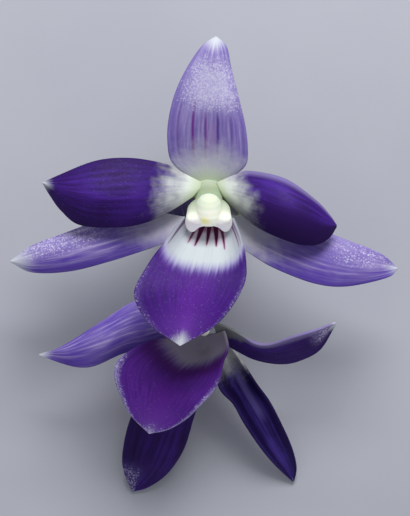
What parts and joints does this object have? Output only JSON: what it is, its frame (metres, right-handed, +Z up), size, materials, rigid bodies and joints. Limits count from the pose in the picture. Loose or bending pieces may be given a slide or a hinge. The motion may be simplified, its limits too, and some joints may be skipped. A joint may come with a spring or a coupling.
{
  "type": "orchid flower spray",
  "caption": "Flowering orchid spray as picked: violet blooms with pointed sepals, rounded petals, a broad lip with a white throat and a cream column, on one short stalk.",
  "frame": {"origin": "centre of the bounding box in plan, on the surface that the spray lies on", "axes": "+Z up, the way the blooms face; +Y towards the tip of the upper bloom's dorsal sepal; +X to the right as seen from above"},
  "size_m": [0.0414, 0.0492, 0.0202],
  "materials": {
    "petal": "velvety with a fine sparkle",
    "sepal": "velvety with a fine sparkle",
    "lip": "velvety with a fine sparkle",
    "column": "waxy",
    "anther_cap": "waxy",
    "stalk": "satin",
    "bract": "dry and papery"
  },
  "bodies": {
    "root": {"upper_dorsal_sepal": "sepal", "upper_petal_left": "petal", "upper_petal_right": "petal", "upper_lateral_sepal_left": "sepal", "upper_lateral_sepal_right": "sepal", "upper_lip": "lip", "upper_column": "column", "upper_anther_cap": "anther_cap", "upper_mentum": "sepal", "upper_ovary": "stalk", "lower_dorsal_sepal": "sepal", "lower_petal_left": "petal", "lower_petal_right": "petal", "lower_lateral_sepal_left": "sepal", "lower_lateral_sepal_right": "sepal", "lower_lip": "lip", "lower_column": "column", "lower_anther_cap": "anther_cap", "lower_mentum": "sepal", "lower_ovary": "stalk", "rachis": "stalk", "bract_base": "bract", "bract_upper": "bract", "bract_lower": "bract"}
  },
  "joints": []
}
